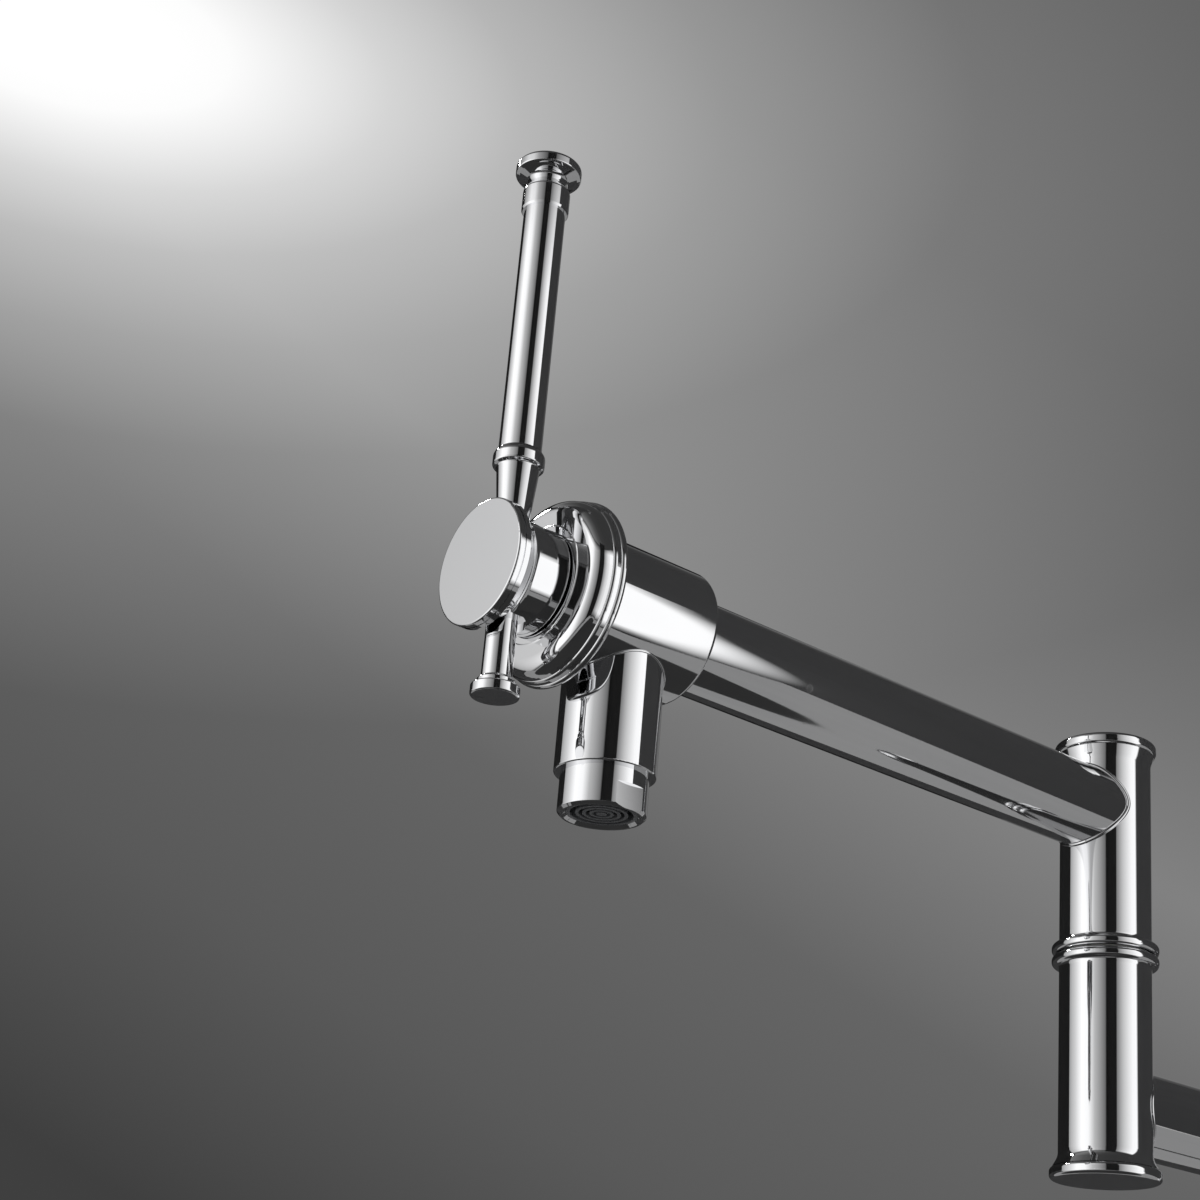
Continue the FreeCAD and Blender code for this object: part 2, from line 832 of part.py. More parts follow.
def wall_flange():
    """Domed flange that slides on the neck and covers the hole in the wall, with a clamping collar."""
    nose = flange_collar_radius + bonnet_nose_step
    dome = beaded_dome(flange_radius, flange_bead, 0, flange_depth, nose)
    collar = turned([
        (0, flange_depth - flange_wall),
        (flange_collar_radius, flange_depth - flange_wall),
        (flange_collar_radius, flange_collar_end, edge),
        (0, flange_collar_end),
    ])
    hollows = [
        rod(flange_radius - 2 * flange_wall, -1, flange_depth - flange_wall),
        rod(flange_radius - flange_wall, -1, gasket_height),
        rod(arm_radius + slide_gap, -1, flange_collar_end + 1),
    ]
    flange = forward(dome.fuse(collar).cut(hollows))
    screw_hole = mirrored(rod(grub_screw_radius + thread_gap, arm_radius - 1, flange_radius))
    return flange.cut(at_grub_screw(screw_hole)).removeSplitter()


def at_grub_screw(shape):
    """Move an upright piece to the middle of the flange's collar."""
    shape.translate(FRONT * (flange_collar_end - flange_collar_height / 2))
    return shape


def flange_gasket():
    """Soft ring in the flange's back that seals it to the wall."""
    outer = flange_radius - flange_wall - slide_gap
    return forward(ring(outer, outer - gasket_width, 0, gasket_height))


def flange_grub_screw():
    """Headless screw that clamps the flange's collar to the neck from below."""
    end = flange_collar_radius - edge
    socket = hexagon(grub_screw_socket, end - grub_screw_radius, end + 1)
    return at_grub_screw(mirrored(rod(grub_screw_radius, arm_radius, end).cut(socket)))


def inlet_neck():
    """Tube between the wall and the valve, threaded inside for the shank."""
    end = wall_valve_distance - body_back + socket_depth
    thread = rod(shank_root_radius + thread_gap, neck_start - 1, shank_seat + thrust_gap)
    return forward(rod(arm_radius, neck_start, end).cut([thread, rod(port_radius, neck_start, end + 1)]))


def inlet_shank():
    """Threaded tail that screws into the fitting in the wall, with a thinner root in the neck."""
    return forward(turned([
        (shank_bore_radius, -shank_reach),
        (shank_radius - edge, -shank_reach),
        (shank_radius, -shank_reach + edge),
        (shank_radius, neck_start),
        (shank_root_radius, neck_start),
        (shank_root_radius, shank_seat),
        (shank_bore_radius, shank_seat),
    ]))


def arm_tube(near_y, far_y, height, posts):
    """Hollow arm along Y between two places. Its ends are cut to fit round the posts at y."""
    length = near_y - far_y
    tube = ring(arm_radius, arm_radius - arm_wall, 0, length)
    tube = forward(tube)
    tube.translate(Vector(0, near_y, height))
    for y in posts:
        post = rod(post_radius, height - 2 * arm_radius, height + 2 * arm_radius)
        post.translate(Vector(0, y, 0))
        tube = tube.cut(post)
    return max(tube.Solids, key=lambda solid: solid.Volume)


pieces = {}


def place(name, shape, y=0.0, z=0.0):
    """Put a piece at its post or valve and keep it under its name."""
    shape = shape.copy()
    shape.translate(Vector(0, y, z))
    pieces[name] = shape


def add_swivel(name, y, seam_z):
    """Turning half of one knuckle and what holds it on the fixed half."""
    place(name + "_spigot", spigot(), y, seam_z)
    reach = spigot_radius + slide_gap
    place(name + "_o_rings", o_rings(reach, o_ring_wire, swivel_o_ring_heights), y, seam_z)
    place(name + "_slip_washers", slip_washers(), y, seam_z)
    place(name + "_lock_nut", lock_nut(), y, seam_z)
    place(name + "_upper_sleeve", upper_sleeve(), y, seam_z)
    place(name + "_top_cap", end_cap(top_cap_radius), y, seam_z)
    place(name + "_top_cap_ring", cap_ring(), y, seam_z)


def add_valve(name, y, z, turn):
    """Bonnet, cartridge and handle of one valve. Turn is the handle's place about the axis."""
    place(name + "_bonnet", bonnet(), y, z)
    place(name + "_cartridge_housing", cartridge_housing(), y, z)
    place(name + "_fixed_disc", fixed_disc(), y, z)
    place(name + "_cartridge_seal", cartridge_seal(), y, z)
    handle = {
        "moving_disc": moving_disc(),
        "spindle": spindle(),
        "spindle_ring": spindle_ring(),
        "handle_hub": handle_hub(),
        "hub_screw": hub_screw(),
        "hub_cap": hub_cap(),
        "lever_rod": lever_rod(),
        "lever_knob": lever_knob(),
        "lever_tail": lever_tail(),
    }
    for part, shape in handle.items():
        shape.rotate(Vector(0, 0, 0), Vector(0, 1, 0), turn)
        place(name + "_" + part, shape, y, z)


# Wall end
place("wall_flange", wall_flange())
place("flange_gasket", flange_gasket())
place("flange_grub_screw", flange_grub_screw())
place("inlet_neck", inlet_neck())
place("inlet_shank", inlet_shank())
place("wall_valve_body", wall_valve_body(), wall_post_y)
add_valve("wall", wall_post_y, 0, wall_handle_turn)
add_swivel("wall_knuckle", wall_post_y, wall_seam_z)

# Arms and middle knuckle
inner_posts = (wall_post_y, mid_post_y)
place("inner_arm_tube", arm_tube(wall_post_y, mid_post_y, inner_arm_z, inner_posts))
place("mid_knuckle_lower_sleeve", lower_sleeve(), mid_post_y, mid_seam_z)
place("mid_knuckle_bottom_cap", mirrored(end_cap(bottom_cap_radius)), mid_post_y, mid_seam_z)
place("mid_knuckle_bottom_cap_ring", mirrored(cap_ring()), mid_post_y, mid_seam_z)
add_swivel("mid_knuckle", mid_post_y, mid_seam_z)
outer_arm_end = outlet_y + body_back - socket_depth
place("outer_arm_tube", arm_tube(mid_post_y, outer_arm_end, outer_arm_z, (mid_post_y,)))

# Outlet end
place("outlet_valve_body", outlet_valve_body(), outlet_y, outer_arm_z)
add_valve("outlet", outlet_y, outer_arm_z, outlet_handle_turn)
place("aerator_housing", aerator_housing(), outlet_y, outer_arm_z)
place("aerator_insert", aerator_insert(), outlet_y, outer_arm_z)
place("aerator_washer", aerator_washer(), outlet_y, outer_arm_z)

os.makedirs("parts", exist_ok=True)
for name, shape in pieces.items():
    shape.exportStep("parts/" + name + ".step")
print("pieces", len(pieces))
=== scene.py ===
# %% [markdown]
# # A pot filler faucet in polished chrome
# A pot filler is a wall tap on two swinging arms. Its construction comes packed, each piece at its real size and
# place, as a fixed frame in metres. This lesson gives those pieces their finishes, adds the details that are too
# fine for the construction, and builds the small studio that the mirror plating needs around it.

# %% Load the frame
import json
import math

import bpy
from mathutils import Matrix, Vector


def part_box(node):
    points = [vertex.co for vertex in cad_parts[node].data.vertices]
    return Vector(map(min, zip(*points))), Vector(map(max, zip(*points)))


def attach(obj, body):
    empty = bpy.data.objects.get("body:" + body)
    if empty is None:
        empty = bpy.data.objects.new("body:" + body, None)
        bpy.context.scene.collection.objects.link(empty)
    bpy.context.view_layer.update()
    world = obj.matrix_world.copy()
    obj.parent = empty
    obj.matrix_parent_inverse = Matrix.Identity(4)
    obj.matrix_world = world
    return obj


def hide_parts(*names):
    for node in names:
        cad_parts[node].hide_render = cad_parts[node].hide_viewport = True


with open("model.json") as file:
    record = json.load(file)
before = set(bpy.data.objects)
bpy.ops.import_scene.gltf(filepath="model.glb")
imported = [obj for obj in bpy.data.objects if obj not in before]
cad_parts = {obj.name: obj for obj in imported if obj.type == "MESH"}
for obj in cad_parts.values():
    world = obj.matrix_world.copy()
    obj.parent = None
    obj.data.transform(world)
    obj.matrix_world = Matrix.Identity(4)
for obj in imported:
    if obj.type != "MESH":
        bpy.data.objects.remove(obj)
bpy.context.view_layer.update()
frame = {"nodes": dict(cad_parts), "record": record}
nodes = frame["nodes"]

print("pieces in the frame:", len(nodes))

# %% [markdown]
# ## Writing shaders as sums
# A finish is a small network of nodes. Linked by hand it is hard to read, so one class wraps an output socket
# and lets Python's own signs stand for Math nodes: `patches * 0.05 + 0.03` is then a real piece of the network.
# Colours would turn grey in a Math node, so they go through a Mix node instead. Every other kind of node comes
# from one method, which takes its settings first and then its sockets.

# %% A socket that takes part in sums


class Value:
    """A number that varies over a surface: an output socket with Python's arithmetic."""

    def __init__(self, finish, socket):
        self.finish = finish
        self.socket = socket

    def maths(self, operation, first, second):
        return self.finish.node("ShaderNodeMath", {"operation": operation}, {0: first, 1: second})

    def __add__(self, other):
        return self.maths("ADD", self, other)

    def __radd__(self, other):
        return self.maths("ADD", other, self)

    def __sub__(self, other):
        return self.maths("SUBTRACT", self, other)

    def __rsub__(self, other):
        return self.maths("SUBTRACT", other, self)

    def __mul__(self, other):
        return self.maths("MULTIPLY", self, other)

    def __rmul__(self, other):
        return self.maths("MULTIPLY", other, self)

    def __pow__(self, other):
        return self.maths("POWER", self, other)


print(Value.__doc__)

# %% A finish and its nodes


class Finish:
    """A material, or the world, whose nodes all come from one method."""

    def __init__(self, owner):
        owner.use_nodes = True
        self.owner = owner
        self.tree = owner.node_tree
        self.tree.nodes.clear()

    def node(self, kind, settings=None, sockets=None, output=0):
        """A node of one kind, with its settings set before its sockets are filled or linked."""
        made = self.tree.nodes.new(kind)
        for name, setting in (settings or {}).items():
            if name == "stops":
                set_stops(made.color_ramp, setting)
            else:
                setattr(made, name, setting)
        for name, value in (sockets or {}).items():
            if isinstance(value, Value):
                self.tree.links.new(value.socket, made.inputs[name])
            else:
                made.inputs[name].default_value = value
        return Value(self, made.outputs[output]) if len(made.outputs) else made

    def mix(self, factor, first, second):
        """Colour between two others, by a factor that may vary."""
        return self.node("ShaderNodeMix", {"data_type": "RGBA"}, {0: factor, 6: first, 7: second}, output=2)

    def ramp(self, factor, stops):
        """Grey level read off a ramp of (place, level) pairs."""
        return self.node("ShaderNodeValToRGB", {"stops": stops}, {"Fac": factor})


def set_stops(ramp, stops):
    """Fill a colour ramp from (place, grey level) pairs."""
    while len(ramp.elements) < len(stops):
        ramp.elements.new(1.0)
    for element, (place, level) in zip(ramp.elements, stops):
        element.position = place
        element.color = (level, level, level, 1)


print(Finish.node.__doc__)

# %% [markdown]
# ## What every finish shares
# All the finishes vary over the surface by noise in object coordinates. A node's object sits at the frame's
# origin and its mesh is in metres, so a scale of 50 gives lumps about 20 mm across, on every piece alike.

# %% Noise, bumps and the surface shader


def object_place(finish):
    """Place on the surface, in the metres of the object's own coordinates."""
    return finish.node("ShaderNodeTexCoord", output="Object")


def noise(finish, scale, detail=2.0):
    """Soft noise between 0 and 1, with about this many lumps in a metre."""
    sockets = {"Vector": object_place(finish), "Scale": scale, "Detail": detail}
    return finish.node("ShaderNodeTexNoise", {}, sockets)


def bump(finish, height, depth, strength=1.0):
    """Normal bent by a height between 0 and 1, where depth is the real height of 1 in metres."""
    return finish.node("ShaderNodeBump", {}, {"Height": height, "Distance": depth, "Strength": strength})


def surface(finish, **sockets):
    """Finish a material with one principled surface. Socket names are written with _ for spaces."""
    sockets = {name.replace("_", " "): value for name, value in sockets.items()}
    shader = finish.node("ShaderNodeBsdfPrincipled", {}, sockets)
    finish.node("ShaderNodeOutputMaterial", {}, {"Surface": shader})
    return finish.owner


print("scale for lumps 20 mm across:", round(1 / 0.020))

# %% [markdown]
# ## Polished chrome
# Bright chrome is a mirror: nearly all that one sees in it is the studio. A perfect mirror looks like a drawing,
# though. Real plating follows the buffed brass below it, with waves a few centimetres long and some hundredths
# of a millimetre high, and hands and water leave a film that dulls it in patches. One noise bends the normal a
# little, and the others move the roughness and the tint. The scales below count lumps in a metre.

# %% Polished chrome
PATCHES = 30
WAVES = 38
SPECKS = 1100
DROPS = 130.0
WET_PLACES = 60
WAVE_STRENGTH = 0.3
SPECK_DULLNESS = 0.012
DROP_DULLNESS = 0.05
CHROME_TINTS = ((0.80, 0.805, 0.82, 1), (0.85, 0.85, 0.855, 1))


def water_spots(finish):
    """Thin rims of dried drops, 1 where a rim is, on a few places."""
    sockets = {"Vector": object_place(finish), "Scale": DROPS, "Randomness": 1.0}
    away = finish.node("ShaderNodeTexVoronoi", {}, sockets)
    drops = finish.ramp(away, [(0.0, 0.25), (0.10, 0.35), (0.14, 1.0), (0.17, 0.0)])
    few = finish.ramp(noise(finish, WET_PLACES), [(0.50, 0.0), (0.60, 1.0)])
    return drops * few


def polished_chrome(name, film=0.05, mirror=0.025, wave=0.00004):
    """Mirror plating over buffed brass, with the thin film that hands and water leave."""
    finish = Finish(bpy.data.materials.new(name))
    patches = noise(finish, PATCHES, 3.0)
    specks = noise(finish, SPECKS, 1.0)
    waves = noise(finish, WAVES, 1.0)
    spots = water_spots(finish)
    return surface(
        finish,
        Base_Color=finish.mix(patches, *CHROME_TINTS),
        Metallic=1.0,
        Roughness=patches ** 2 * film + specks * SPECK_DULLNESS + spots * DROP_DULLNESS + mirror,
        Normal=bump(finish, waves, wave, WAVE_STRENGTH),
    )


chrome = polished_chrome("polished_chrome")
print("nodes in the chrome:", len(chrome.node_tree.nodes))

# %% [markdown]
# The flat disc on the front of a handle is the one broad flat face. It is lapped on a wheel after plating, so it
# is a little softer than the tubes, and hardly waves at all.

# %% Lapped chrome of the flat discs
lapped_chrome = polished_chrome("lapped_chrome", film=0.03, mirror=0.06, wave=0.00001)
print("finish of the flat discs:", lapped_chrome.name)

# %% [markdown]
# ## Turned brass
# Inside, and at the wall, the brass is bare. The lathe leaves shallow bands across the axis of each piece. A wave
# texture along that axis draws them, and a slow noise brings the brown of brass that has been handled.

# %% Turned brass along one axis
BAND_SCALE = 70.0
BANDS_AT_SCALE_ONE = 20 / (2 * math.pi)
BRASS_TINTS = ((0.80, 0.58, 0.27, 1), (0.66, 0.46, 0.20, 1))


def turned_brass(name, axis):
    """Bare brass with lathe bands across one axis."""
    finish = Finish(bpy.data.materials.new(name))
    settings = {"wave_type": "BANDS", "bands_direction": axis, "wave_profile": "SIN"}
    sockets = {"Vector": object_place(finish), "Scale": BAND_SCALE}
    marks = finish.node("ShaderNodeTexWave", settings, sockets, output=1)
    age = noise(finish, 90, 4.0)
    return surface(
        finish,
        Base_Color=finish.mix(age, *BRASS_TINTS),
        Metallic=1.0,
        Roughness=age * 0.15 + marks * 0.05 + 0.16,
        Normal=bump(finish, marks, 0.00002),
    )


upright_brass = turned_brass("turned_brass_upright", "Z")
level_brass = turned_brass("turned_brass_level", "Y")
print("lathe bands in a metre:", round(BAND_SCALE * BANDS_AT_SCALE_ONE))

# %% [markdown]
# ## The small inner materials
# Screws are stainless steel with a fine grain. The valve's discs are lapped white ceramic with a trace of grey
# flecks. Rings and washers are black rubber, dull and faintly dusty. The slip washers are milky plastic, and the
# jet plate in the spout is dark plastic that always stays a little wet. One recipe serves them all: two shades in
# fine noise, whose grain also moves the roughness and the height.

# %% Steel, ceramic, rubber and plastics


def grained(name, light, dark, scale, roughness, spread, depth, **sockets):
    """Material of two shades in fine noise, whose roughness and height follow the same grain."""
    finish = Finish(bpy.data.materials.new(name))
    grain = noise(finish, scale, 4.0)
    return surface(
        finish,
        Base_Color=finish.mix(grain, dark, light),
        Roughness=grain * spread + roughness,
        Normal=bump(finish, grain, depth),
        **sockets,
    )


steel = grained(
    "screw_steel", light=(0.66, 0.66, 0.67, 1), dark=(0.52, 0.52, 0.53, 1),
    scale=900, roughness=0.22, spread=0.18, depth=0.00001, Metallic=1.0,
)
ceramic = grained(
    "white_ceramic", light=(0.93, 0.92, 0.89, 1), dark=(0.86, 0.85, 0.82, 1),
    scale=1500, roughness=0.12, spread=0.06, depth=0.000003,
)
rubber = grained(
    "black_rubber", light=(0.060, 0.058, 0.056, 1), dark=(0.028, 0.028, 0.028, 1),
    scale=500, roughness=0.55, spread=0.25, depth=0.00002,
)
slip_plastic = grained(
    "milky_plastic", light=(0.90, 0.90, 0.86, 1), dark=(0.82, 0.82, 0.77, 1),
    scale=300, roughness=0.35, spread=0.15, depth=0.00001,
)
jet_plastic = grained(
    "jet_plastic", light=(0.085, 0.087, 0.092, 1), dark=(0.045, 0.046, 0.05, 1),
    scale=700, roughness=0.16, spread=0.2, depth=0.00001,
)
print("small inner materials:", [made.name for made in (steel, ceramic, rubber, slip_plastic, jet_plastic)])

# %% [markdown]
# ## Dressing the pieces
# The frame's record says which slot each piece belongs to. Brass pieces are turned either upright, like the
# pivots of the knuckles, or level, like the cartridges, and the handles' front discs are lapped.

# %% Give each node its finish
finishes = {
    "chrome": chrome,
    "steel": steel,
    "ceramic": ceramic,
    "rubber": rubber,
    "slip_plastic": slip_plastic,
    "jet_plastic": jet_plastic,
}


def finish_of(name, slot):
    """Finish of a node, by its slot and, for brass and flat discs, by its own place."""
    if name.endswith("hub_cap"):
        return lapped_chrome
    if slot == "brass":
        return upright_brass if "knuckle" in name else level_brass
    return finishes[slot]


for part in frame["record"]["subparts"]:
    for place in nodes[part["node"]].material_slots:
        place.material = finish_of(part["node"], part["material_slot"])
print("finishes:", len(bpy.data.materials))

# %% [markdown]
# ## Weld beads
# Each arm is a tube whose end is shaped to the round post and brazed on before plating. The buffing wheel leaves
# a thin rounded line along the joint. It follows the curve in which two cylinders meet, and that curve needs no
# modelling: every point of it is at the arm's radius from the arm's axis and at the post's radius from the
# post's. A closed curve with a round bevel through those points is the bead.

# %% A round bead through points
BEAD = 0.00065
CREASE = 0.5 * BEAD
BEAD_POINTS = 128
TURNS = [2 * math.pi * index / BEAD_POINTS for index in range(BEAD_POINTS)]


def middle_and_radius(node, axis):
    """Middle of a round piece, and its radius across the axis."""
    low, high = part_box(node)
    across = [index for index in range(3) if index != axis]
    return (Vector(low) + Vector(high)) / 2, (high[across[0]] - low[across[0]]) / 2


def bead_along(name, points, thickness, body):
    """Closed round bead through points, in chrome."""
    curve = bpy.data.curves.new(name, "CURVE")
    curve.dimensions = "3D"
    curve.bevel_depth = thickness
    curve.bevel_resolution = 4
    spline = curve.splines.new("POLY")
    spline.points.add(len(points) - 1)
    for point, place in zip(spline.points, points):
        point.co = (*place, 1)
    spline.use_cyclic_u = True
    bead = bpy.data.objects.new(name, curve)
    bpy.context.scene.collection.objects.link(bead)
    curve.materials.append(chrome)
    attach(bead, body)


print("points round a bead:", len(TURNS))

# %% Weld beads where the arms meet the posts
RING_OVERHANG = 0.0021


def weld_bead(name, arm, post, side, body):
    """Bead on the line where an arm along Y leaves an upright post, on the side -1 or 1 of it."""
    middle, arm_radius = middle_and_radius(arm, 1)
    post_middle, ring_radius = middle_and_radius(post, 2)
    post_radius = ring_radius - RING_OVERHANG
    points = []
    for turn in TURNS:
        x = arm_radius * math.cos(turn)
        z = middle.z + arm_radius * math.sin(turn)
        points.append((x, post_middle.y + side * math.sqrt(post_radius ** 2 - x ** 2), z))
    bead_along(name, points, BEAD, body)
    return post_radius


weld_bead("outer_arm_weld", "outer_arm_tube", "mid_knuckle_upper_sleeve", -1, "outer_arm")
weld_bead("inner_arm_front_weld", "inner_arm_tube", "mid_knuckle_lower_sleeve", 1, "inner_arm")
post_radius = weld_bead("inner_arm_back_weld", "inner_arm_tube", "wall_knuckle_upper_sleeve", -1, "inner_arm")
print("post radius in mm:", round(1000 * post_radius, 2))

# %% [markdown]
# The spout and the wall's post are cast in one with their barrels. There the polish leaves only a fine bright
# crease, half as thick as a weld, on the same kind of curve turned upright.

# %% Creases where the spout and the wall's post leave their barrels
SPOUT_STEP = 0.0016


def crease_bead(name, barrel_radius, branch_radius, crossing, side, body):
    """Fine bright line where an upright branch leaves a level barrel, below (-1) or above (1) its axis."""
    points = []
    for turn in TURNS:
        x = branch_radius * math.cos(turn)
        y = branch_radius * math.sin(turn)
        points.append((x, crossing.y + y, crossing.z + side * math.sqrt(barrel_radius ** 2 - x ** 2)))
    bead_along(name, points, CREASE, body)


barrel_radius = middle_and_radius("outlet_valve_body", 1)[1]
spout_middle, housing_radius = middle_and_radius("aerator_housing", 2)
spout_radius = housing_radius + SPOUT_STEP
outlet_crossing = Vector((0, spout_middle.y, middle_and_radius("outer_arm_tube", 1)[0].z))
wall_crossing = Vector((0, middle_and_radius("wall_knuckle_upper_sleeve", 2)[0].y, 0))
crease_bead("spout_crease", barrel_radius, spout_radius, outlet_crossing, -1, "outer_arm")
crease_bead("wall_post_crease", barrel_radius, post_radius, wall_crossing, 1, "wall_unit")
print("barrel and spout radius in mm:", [round(1000 * size, 2) for size in (barrel_radius, spout_radius)])

# %% [markdown]
# ## The pipe thread
# The brass shank screws into the fitting in the wall with a half inch parallel pipe thread. Its construction is
# a plain cylinder at the thread's outside. Here the real thread replaces it: 14 turns to the inch, 1.162 mm
# deep. A screw surface is a grid of points round the axis whose radius depends on the height plus the share of
# a turn, so the grooves climb by one pitch in every turn without any modifier.

# %% Radius of the thread
PITCH = 0.001814
THREAD_DEPTH = 0.001162
RUNOUT = 2 * PITCH
LEAD_BEVEL = 0.8
FLANK = 1.25
ROOT_FLAT = 0.125


def thread_height(phase):
    """Height of the rounded thread over its root, between 0 and 1, for a share of a turn."""
    flank = abs(2 * (phase % 1.0) - 1)
    return min(1.0, max(0.0, FLANK * flank - ROOT_FLAT))


def shank_radius(along, angle, length, crest):
    """Radius of the shank at a distance from its open end, smooth at both ends of the thread."""
    lead = min(1.0, along / PITCH)
    runout = min(1.0, max(0.0, (length - along) / RUNOUT))
    groove = THREAD_DEPTH * (1 - thread_height(along / PITCH + angle / (2 * math.pi)))
    bevel = LEAD_BEVEL * THREAD_DEPTH * (1 - lead)
    return crest - max(groove * runout, bevel)


print("turns in an inch:", round(0.0254 / PITCH))

# %% [markdown]
# The grid's rows run from the bore at the seat, out and along the thread, and back into the bore at the open
# end. Joined in a loop, they close the shank as one solid skin.

# %% Shank with its real thread
BORE = 0.0070
SEAT_END = -0.0006
AROUND = 96
ROWS_PER_TURN = 10
SHARP = math.radians(35)


def shank_rows(low, high, crest):
    """Rows of (radius, y) points round the shank, each row a list of AROUND pairs."""
    seat_radius = crest - THREAD_DEPTH
    rows = [[(radius, y)] * AROUND for radius, y in ((BORE, low), (seat_radius, low), (seat_radius, SEAT_END))]
    turns = [2 * math.pi * step / AROUND for step in range(AROUND)]
    count = round(high / PITCH * ROWS_PER_TURN)
    for row in range(count, -1, -1):
        along = high * row / count
        rows.append([(shank_radius(along, turn, high, crest), high - along) for turn in turns])
    rows.append([(BORE, high)] * AROUND)
    return rows


def threaded_shank():
    """Brass shank, threaded over the part that stands behind the wall flange."""
    low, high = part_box("inlet_shank")
    middle, crest = middle_and_radius("inlet_shank", 1)
    rows = shank_rows(low[1], high[1], crest)
    verts = []
    for row in rows:
        for step, (radius, y) in enumerate(row):
            turn = 2 * math.pi * step / AROUND
            verts.append((middle.x + radius * math.cos(turn), y, middle.z + radius * math.sin(turn)))
    faces = []
    for here in range(len(rows)):
        there = (here + 1) % len(rows)
        for step in range(AROUND):
            ahead = (step + 1) % AROUND
            corners = ((here, step), (here, ahead), (there, ahead), (there, step))
            faces.append([row * AROUND + place for row, place in corners])
    mesh = bpy.data.meshes.new("inlet_thread")
    mesh.from_pydata(verts, [], faces)
    mesh.materials.append(level_brass)
    mesh.shade_smooth()
    mesh.set_sharp_from_angle(angle=SHARP)
    shank = bpy.data.objects.new("inlet_thread", mesh)
    bpy.context.scene.collection.objects.link(shank)
    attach(shank, "wall_unit")
    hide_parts("inlet_shank")
    return len(rows)


print("rows round the shank:", threaded_shank())

# %% [markdown]
# ## The screen in the aerator
# Above the jets of the spout lies a fine stainless screen that mixes air into the water, and one sees it as a
# grey weave between the dark rings. It is woven from two sets of wires that pass over and under each other,
# so each wire is a curve whose height swings by half a wire's thickness at each crossing.

# %% Woven screen over the jets
WIRE = 0.00013
MESH_STEP = 0.00085
SCREEN_LIFT = 0.0036
SCREEN_MARGIN = 0.0014


def screen():
    """Round screen of crossing wires just above the jet plate's rings."""
    middle, radius = middle_and_radius("aerator_insert", 2)
    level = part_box("aerator_insert")[0][2] + SCREEN_LIFT
    reach = radius - SCREEN_MARGIN
    curve = bpy.data.curves.new("aerator_screen", "CURVE")
    curve.dimensions = "3D"
    curve.bevel_depth = WIRE
    curve.bevel_resolution = 1
    wires = int(reach / MESH_STEP)
    for along_x in (True, False):
        for number in range(-wires, wires + 1):
            offset = number * MESH_STEP
            half = math.sqrt(reach ** 2 - offset ** 2)
            steps = max(2, int(half / MESH_STEP))
            spline = curve.splines.new("POLY")
            spline.points.add(2 * steps)
            for index, point in enumerate(spline.points):
                run = (index - steps) * half / steps
                swing = WIRE * (1 if (index + number + along_x) % 2 else -1)
                x, y = (run, offset) if along_x else (offset, run)
                point.co = (middle.x + x, middle.y + y, level + swing, 1)
    woven = bpy.data.objects.new("aerator_screen", curve)
    bpy.context.scene.collection.objects.link(woven)
    curve.materials.append(steel)
    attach(woven, "outer_arm")
    return len(curve.splines)


print("wires in the screen:", screen())

# %% [markdown]
# ## Camera
# The photograph looks up at the outlet from the front right and below. The camera stands about half a metre from
# the outlet, and its small shift only keeps the framing, so that other views stay centred too.

# %% Camera
EYE = Vector((0.371, -0.7591, -0.0324))
LOOK = Vector((-0.7242, 0.5993, 0.3413))
RIGHT = Vector((0.6555, 0.7519, 0.0706))
PICTURE_WIDTH = 1200
FOCAL = 2139.5 / PICTURE_WIDTH
SHIFT = (-0.05, 0.12)


def place_camera():
    """Camera at the eye, its focal length given in widths of the picture."""
    lens = bpy.data.cameras.new("camera")
    lens.lens = FOCAL * lens.sensor_width
    lens.shift_x, lens.shift_y = SHIFT
    camera = bpy.data.objects.new("camera", lens)
    bpy.context.scene.collection.objects.link(camera)
    back = -LOOK.normalized()
    side = (RIGHT - back * RIGHT.dot(back)).normalized()
    turn = Matrix((side, back.cross(side), back)).transposed()
    camera.matrix_world = Matrix.Translation(EYE) @ turn.to_4x4()
    bpy.context.scene.camera = camera
    return lens.lens


print("focal length in mm:", round(place_camera()))

# %% [markdown]
# ## A studio for a mirror
# Chrome shows its surroundings, so the picture is made by what stands round the object. Photographers use tall
# soft panels for the broad white bands and dark cards, called flags, for the dark lines between them. Here all
# of them stand in a ring round the outlet. Directions are in degrees from the front, -Y, towards +X. The camera
# stands at about 50 degrees, and the gap between the two panels there draws the black line down each upright
# tube.

# %% A card on the ring
CENTRE = Vector((0, -0.45, 0.15))
RING = 1.1
CARD_STEP = 6


def ring_place(angle, height, ring=RING):
    """Point on the ring, from an angle in degrees and a height above the middle."""
    turn = math.radians(angle)
    return CENTRE + Vector((ring * math.sin(turn), -ring * math.cos(turn), height))


def card(name, span, heights, lean=0.0, ring=RING):
    """Upright curved card over a span of angles, whose far edge may lean out at the bottom by some degrees."""
    start, end = span
    steps = max(2, round((end - start) / CARD_STEP))
    points = []
    places = []
    for step in range(steps + 1):
        across = step / steps
        for up, height in enumerate(heights):
            angle = start + (end + lean * (1 - up) - start) * across
            points.append(ring_place(angle, height, ring))
            places.append((across, up))
    faces = [(2 * step, 2 * step + 1, 2 * step + 3, 2 * step + 2) for step in range(steps)]
    mesh = bpy.data.meshes.new(name)
    mesh.from_pydata(points, [], faces)
    mesh.uv_layers.new()
    for loop in mesh.loops:
        mesh.uv_layers[0].data[loop.index].uv = places[loop.vertex_index]
    made = bpy.data.objects.new(name, mesh)
    bpy.context.scene.collection.objects.link(made)
    made.visible_camera = False
    return made


print("front of the ring in m:", [round(side, 2) for side in ring_place(0, 0)])

# %% [markdown]
# A soft panel is a lamp behind cloth, so it is brightest near its middle and fades to its edges. One ramp gives
# the fade from side to side, and another softens the top and bottom.

